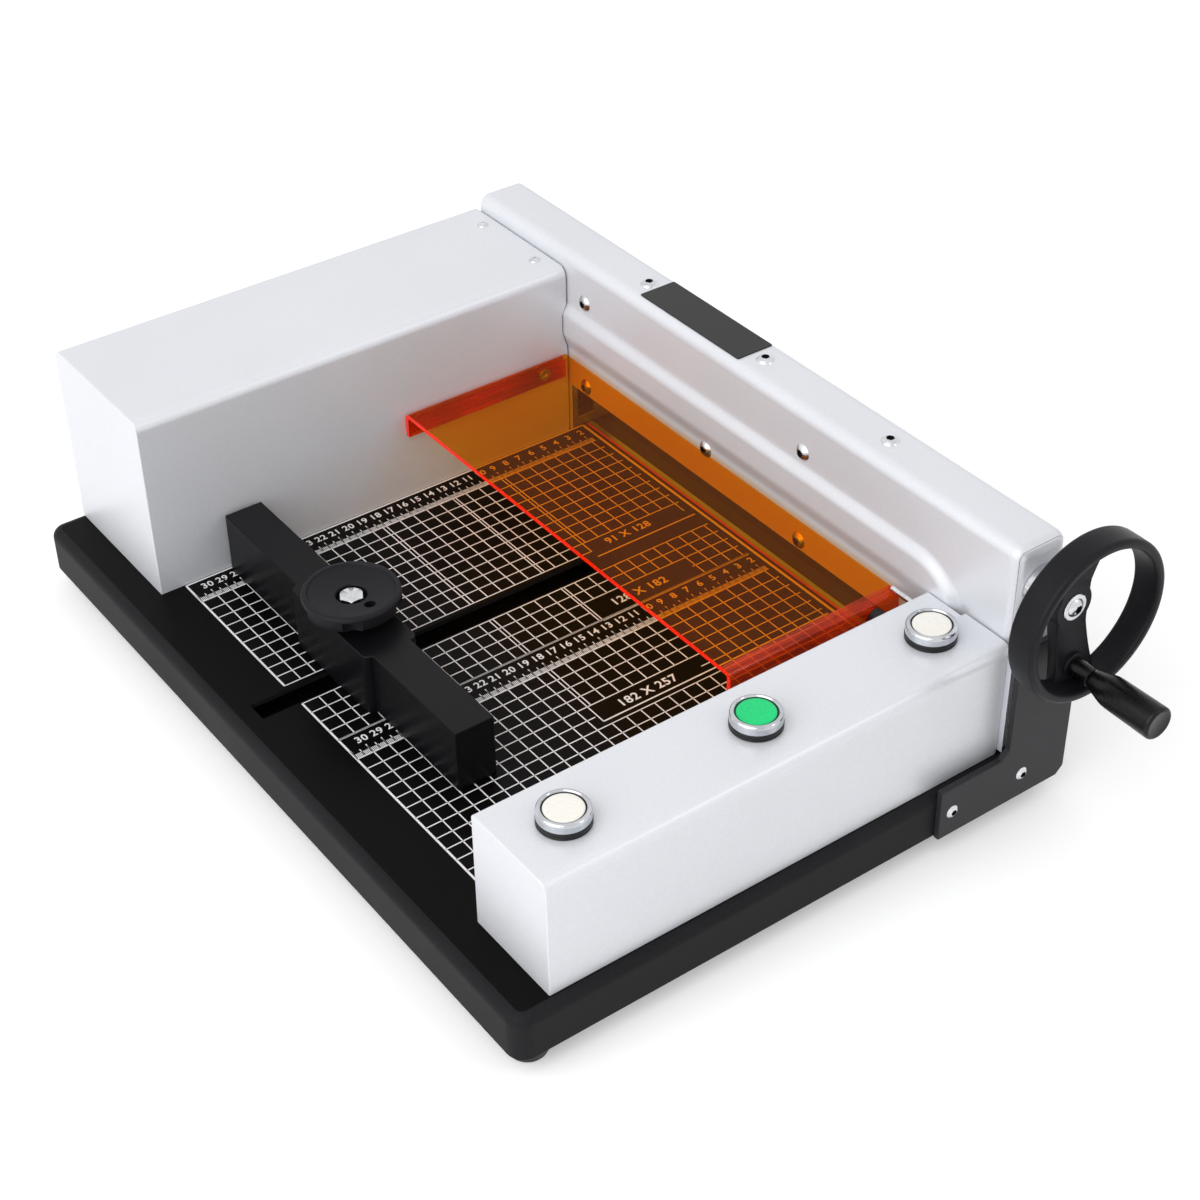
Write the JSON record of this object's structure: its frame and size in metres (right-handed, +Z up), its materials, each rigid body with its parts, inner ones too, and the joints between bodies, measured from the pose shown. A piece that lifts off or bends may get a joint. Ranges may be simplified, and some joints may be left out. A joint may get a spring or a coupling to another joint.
{
  "type": "electric paper cutter",
  "caption": "Electric guillotine paper cutter with a printed table, a hinged see-through guard, a sliding back gauge, push buttons and a handwheel that lowers the paper clamp.",
  "frame": {"origin": "bottom centre of the box, on the floor under the feet", "axes": "+Z up, +Y away from the operator's button side towards the tall rear housing, +X from the table's free left edge across the cutting line to the beam's back"},
  "size_m": [0.3964, 0.6058, 0.195],
  "materials": {
    "silver_paint": "satin silver-grey powder paint",
    "black_paint": "fine-textured black paint",
    "plate_paint": "satin charcoal paint",
    "rubber": "moulded black rubber",
    "zinc": "bright zinc plating",
    "steel": "ground machine steel",
    "blade_steel": "ground and honed tool steel",
    "brass": "turned brass",
    "chrome": "polished chrome",
    "acrylic": "clear orange acrylic",
    "black_plastic": "satin black plastic",
    "gauge_paint": "satin black paint",
    "cream_cap": "cream plastic",
    "green_cap": "green plastic",
    "stick": "cut-resistant plastic strip",
    "motor_paint": "dark motor paint",
    "circuit": "green circuit board"
  },
  "bodies": {
    "frame": {"base_tray": "black_paint", "bottom_plate": "black_paint", "rubber_feet": "rubber", "foot_screws": "zinc", "rear_housing_screws": "zinc", "beam_screws": "zinc", "side_plate_screws": "zinc", "guard_pivot_screws": "zinc", "guard_spacer": "zinc", "guard_stop_pin": "zinc", "rear_housing": "silver_paint", "front_housing": "silver_paint", "beam_cover": "silver_paint", "beam_bridge": "steel", "front_post": "steel", "rear_post": "steel", "lead_screw_blocks": "steel", "motor_bracket": "steel", "stick_channel": "steel", "clamp_guide_strips": "brass", "lead_screw_feet": "brass", "side_plate": "plate_paint", "cutting_stick": "stick", "button_collars": "black_plastic", "button_bodies": "black_plastic", "button_nuts": "black_plastic", "limit_switch": "black_plastic", "mains_inlet": "black_plastic", "switch_frame": "black_plastic", "button_bezels": "chrome", "shaft_bushes": "chrome", "gearbox": "motor_paint", "gear_motor": "motor_paint", "control_board": "circuit"},
    "guard": {"guard": "acrylic"},
    "gauge": {"gauge_bar": "gauge_paint", "gauge_t_nut": "steel", "gauge_washer": "zinc"},
    "gauge_knob": {"gauge_knob": "black_plastic", "gauge_bolt": "zinc"},
    "start_left": {"left_start_cap": "cream_cap"},
    "reset": {"reset_cap": "green_cap"},
    "start_right": {"right_start_cap": "cream_cap"},
    "handwheel": {"handwheel": "black_plastic", "handwheel_screw": "zinc", "line_shaft": "steel", "shaft_bevel_gears": "brass", "handle_spindle": "steel"},
    "handle_grip": {"handle_grip": "black_plastic"},
    "front_screw": {"front_lead_screw": "steel"},
    "rear_screw": {"rear_lead_screw": "steel"},
    "clamp": {"clamp_bar": "steel", "clamp_nuts": "brass"},
    "knife": {"knife_carrier": "steel", "knife_blade": "blade_steel", "knife_screws": "steel", "drive_rack": "steel"},
    "drive": {"drive_pinion": "brass", "drive_shaft": "steel"},
    "rocker": {"power_rocker": "black_plastic"}
  },
  "joints": [
    {"name": "guard_lift", "type": "hinge", "parent": "frame", "child": "guard", "pos_m": [0.10725, 0.0309, 0.0955], "axis": [0, 1, 0], "range_deg": [0, 100]},
    {"name": "gauge_slide", "type": "slide", "parent": "frame", "child": "gauge", "axis": [1, 0, 0], "range_m": [-0.054, 0.172]},
    {"name": "gauge_knob_turn", "type": "hinge", "parent": "gauge", "child": "gauge_knob", "pos_m": [-0.11475, 0.0619, 0.091], "axis": [0, 0, 1], "range_deg": [0, 360]},
    {"name": "start_left_press", "type": "slide", "parent": "frame", "child": "start_left", "axis": [0, 0, -1], "range_m": [0, 0.003], "stiffness_N_per_m": 300, "springref_m": -0.002},
    {"name": "reset_press", "type": "slide", "parent": "frame", "child": "reset", "axis": [0, 0, -1], "range_m": [0, 0.003], "stiffness_N_per_m": 300, "springref_m": -0.002},
    {"name": "start_right_press", "type": "slide", "parent": "frame", "child": "start_right", "axis": [0, 0, -1], "range_m": [0, 0.003], "stiffness_N_per_m": 300, "springref_m": -0.002},
    {"name": "handwheel_turn", "type": "hinge", "parent": "frame", "child": "handwheel", "pos_m": [0.14925, -0.2281, 0.146], "axis": [0, 1, 0], "range_deg": [0, 2160]},
    {"name": "handle_grip_spin", "type": "hinge", "parent": "handwheel", "child": "handle_grip", "pos_m": [0.14925, -0.2661, 0.11], "axis": [0, 1, 0], "continuous": true},
    {"name": "front_screw_turn", "type": "hinge", "parent": "frame", "child": "front_screw", "pos_m": [0.14925, -0.1791, 0.101], "axis": [0, 0, 1], "range_deg": [-2160, 0]},
    {"name": "rear_screw_turn", "type": "hinge", "parent": "frame", "child": "rear_screw", "pos_m": [0.14925, 0.2219, 0.101], "axis": [0, 0, 1], "range_deg": [-2160, 0]},
    {"name": "clamp_press", "type": "slide", "parent": "frame", "child": "clamp", "axis": [0, 0, 1], "range_m": [-0.036, 0]},
    {"name": "knife_stroke", "type": "slide", "parent": "frame", "child": "knife", "axis": [0, 0, 1], "range_m": [-0.0377, 0]},
    {"name": "drive_turn", "type": "hinge", "parent": "frame", "child": "drive", "pos_m": [0.15275, 0.2659, 0.118], "axis": [1, 0, 0], "range_deg": [0, 120.1]},
    {"name": "power_rock", "type": "hinge", "parent": "frame", "child": "rocker", "pos_m": [-0.12875, 0.2959, 0.081], "axis": [1, 0, 0], "range_deg": [-10, 0]}
  ],
  "couplings": [
    {"joint": "front_screw_turn", "follows": "handwheel_turn", "ratio": -1},
    {"joint": "rear_screw_turn", "follows": "handwheel_turn", "ratio": -1},
    {"joint": "clamp_press", "follows": "handwheel_turn", "m_per_rad": -0.00095493},
    {"joint": "drive_turn", "follows": "knife_stroke", "rad_per_m": -55.556}
  ]
}
